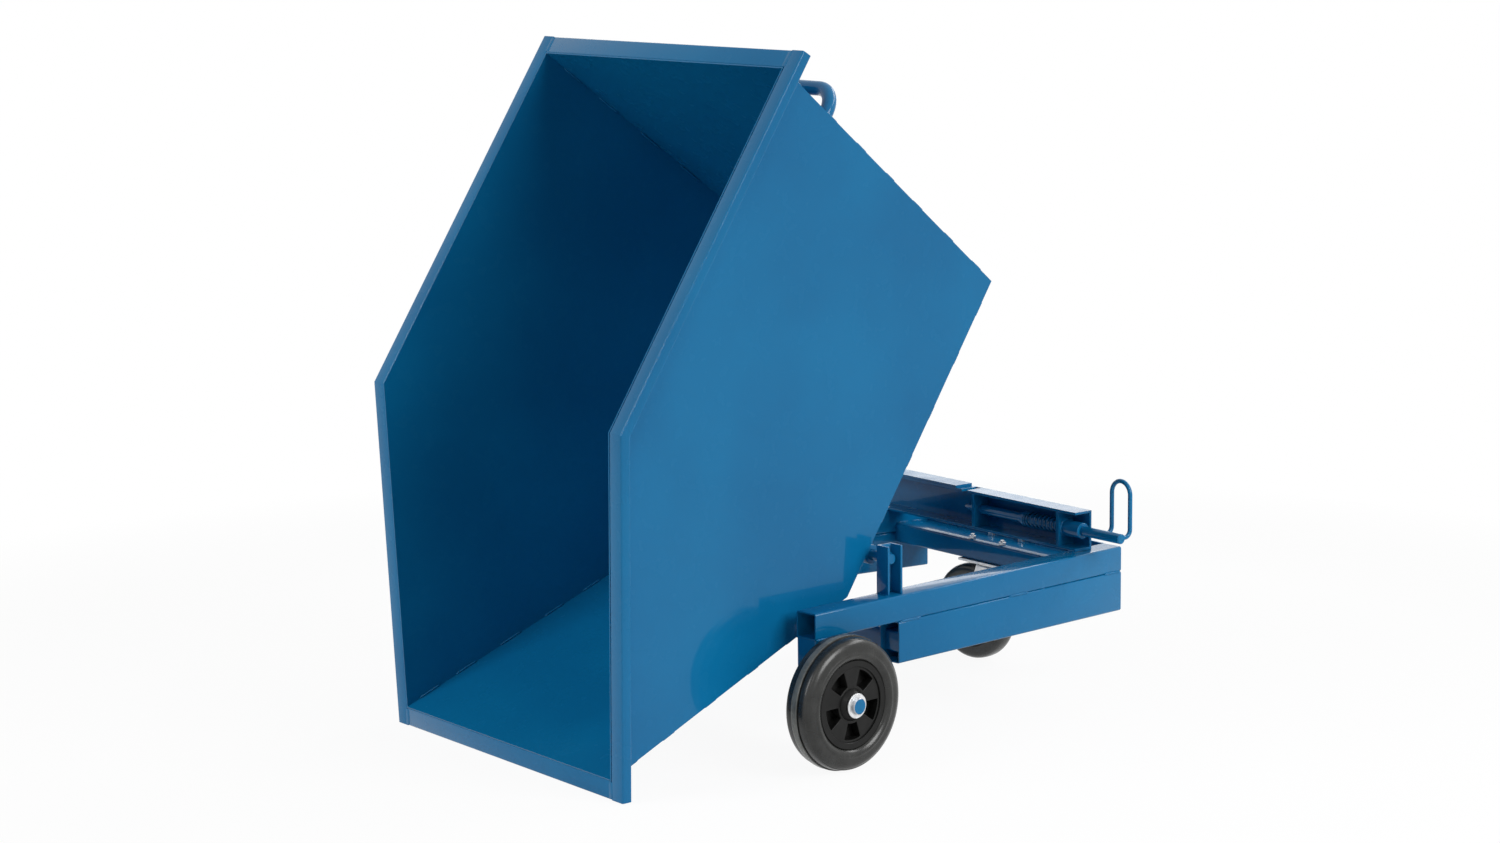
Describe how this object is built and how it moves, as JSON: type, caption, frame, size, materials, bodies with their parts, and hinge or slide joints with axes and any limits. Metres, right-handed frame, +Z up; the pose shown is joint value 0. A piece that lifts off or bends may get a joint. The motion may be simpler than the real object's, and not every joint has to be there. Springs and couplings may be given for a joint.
{
  "type": "tipping skip trolley",
  "caption": "Wheeled tipping skip trolley: a blue steel skip pivots forward on a tapered tube chassis with a sprung latch pin, fixed wheels in front and a swivel caster behind.",
  "frame": {"origin": "middle of the footprint of the tipped trolley, at the floor", "axes": "+X forward, the way the skip tips; +Y to the left; +Z up"},
  "size_m": [1.2762, 0.9692, 1.3049],
  "materials": {
    "blue_paint": "glossy blue enamel",
    "black_rubber": "matt black rubber",
    "black_plastic": "black moulded plastic",
    "zinc": "bright zinc plating",
    "bright_steel": "plain steel"
  },
  "bodies": {
    "chassis": {"axle_spacers": "bright_steel", "axle_washers": "zinc", "caster_bolts": "zinc", "caster_kingpin": "zinc", "caster_nuts": "zinc", "caster_plate": "zinc", "caster_rail": "blue_paint", "front_cross_tube": "blue_paint", "latch_bushing": "blue_paint", "latch_channel": "blue_paint", "latch_end_plate": "blue_paint", "latch_partition": "blue_paint", "latch_spring": "blue_paint", "lower_rail_left": "blue_paint", "lower_rail_right": "blue_paint", "pivot_post_left": "blue_paint", "pivot_post_right": "blue_paint", "pivot_shaft": "blue_paint", "rear_plate": "blue_paint", "shaft_collars": "blue_paint", "side_rail_left": "blue_paint", "side_rail_right": "blue_paint", "stub_axle_left": "blue_paint", "stub_axle_right": "blue_paint", "swivel_race": "zinc", "wear_strip": "blue_paint", "wheel_post_left": "blue_paint", "wheel_post_right": "blue_paint"},
    "skip": {"side_panel_left": "blue_paint", "side_panel_right": "blue_paint", "bottom_plate": "blue_paint", "back_wall": "blue_paint", "front_slope": "blue_paint", "rim_top_bar": "blue_paint", "rim_side_bar_left": "blue_paint", "rim_side_bar_right": "blue_paint", "rim_lip_bar": "blue_paint", "push_handle": "blue_paint", "hinge_sleeve_left": "blue_paint", "hinge_sleeve_right": "blue_paint", "catch_lug": "blue_paint"},
    "latch": {"latch_pin": "blue_paint", "latch_collar": "blue_paint", "latch_loop": "blue_paint"},
    "wheel_left": {"tyre_left": "black_rubber", "wheel_rim_left": "black_plastic", "wheel_bearing_left": "bright_steel"},
    "wheel_right": {"tyre_right": "black_rubber", "wheel_rim_right": "black_plastic", "wheel_bearing_right": "bright_steel"},
    "caster": {"caster_fork": "zinc", "caster_axle": "zinc"},
    "caster_wheel": {"caster_tyre": "black_rubber", "caster_rim": "black_plastic", "caster_bearing": "bright_steel"}
  },
  "joints": [
    {"name": "skip_tip", "type": "hinge", "parent": "chassis", "child": "skip", "pos_m": [-0.00932, 0, 0.352], "axis": [0, -1, 0], "range_deg": [0, 57.5]},
    {"name": "latch_slide", "type": "slide", "parent": "chassis", "child": "latch", "axis": [0, 1, 0], "range_m": [0, 0.036], "stiffness_N_per_m": 1500, "springref_m": -0.02, "deforming": ["latch_spring"]},
    {"name": "wheel_left_spin", "type": "hinge", "parent": "chassis", "child": "wheel_left", "pos_m": [0.1779, 0.4394, 0.125], "axis": [-0.0958, 0.9954, 0], "continuous": true},
    {"name": "wheel_right_spin", "type": "hinge", "parent": "chassis", "child": "wheel_right", "pos_m": [0.1779, -0.4394, 0.125], "axis": [0.0958, 0.9954, 0], "continuous": true},
    {"name": "caster_swivel", "type": "hinge", "parent": "chassis", "child": "caster", "pos_m": [-0.591, 0, 0.216], "axis": [0, 0, 1], "continuous": true},
    {"name": "caster_wheel_spin", "type": "hinge", "parent": "caster", "child": "caster_wheel", "pos_m": [-0.58681, -0.05985, 0.1], "axis": [0.9976, 0.0698, 0], "continuous": true}
  ]
}
